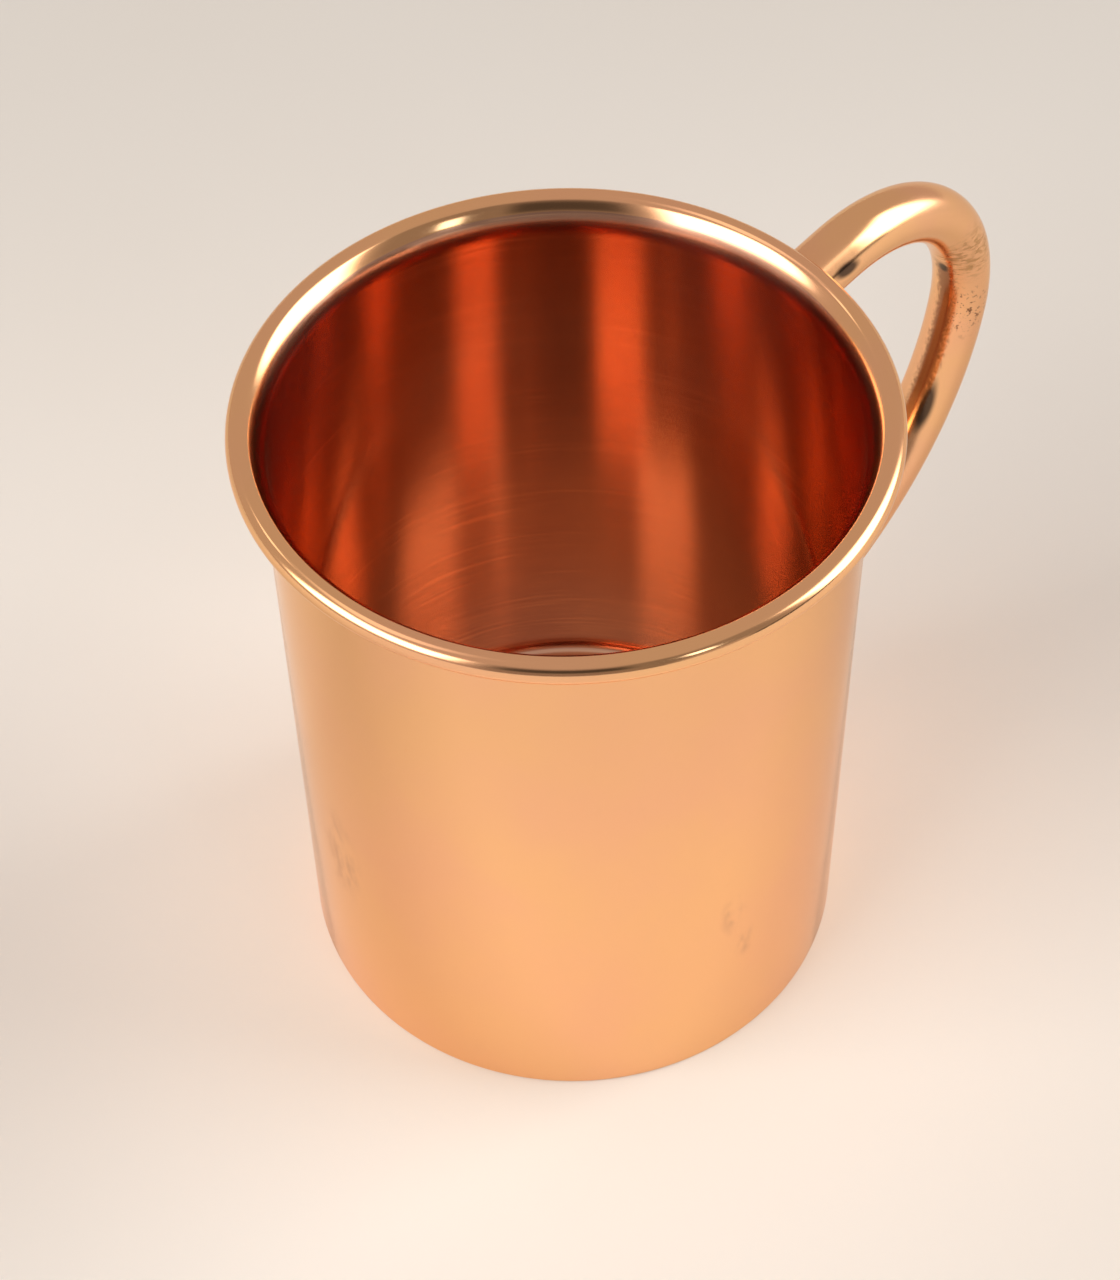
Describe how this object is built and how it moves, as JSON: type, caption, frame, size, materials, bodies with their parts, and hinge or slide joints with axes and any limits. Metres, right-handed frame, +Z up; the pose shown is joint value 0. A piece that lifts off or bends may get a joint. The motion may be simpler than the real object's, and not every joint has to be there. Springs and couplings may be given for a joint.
{
  "type": "mug",
  "caption": "Straight-sided copper drinking mug with a rolled lip, a raised floor set inside the wall and a bent round-rod loop handle.",
  "frame": {"origin": "centre of the foot ring, on the surface that the mug stands on, on the cup's axis", "axes": "+Z up along the cup's axis; +X out from the axis through the handle, which lies in the XZ plane"},
  "size_m": [0.132, 0.088, 0.1004],
  "materials": {
    "cup_copper": "polished copper, fine turning marks inside",
    "pan_copper": "polished copper",
    "rod_copper": "polished copper with a little tarnish",
    "filler": "buffed copper-coloured filler metal"
  },
  "bodies": {
    "root": {"cup_wall": "cup_copper", "base_pan": "pan_copper", "base_seam": "filler", "handle": "rod_copper", "upper_braze": "filler", "lower_braze": "filler"}
  },
  "joints": []
}
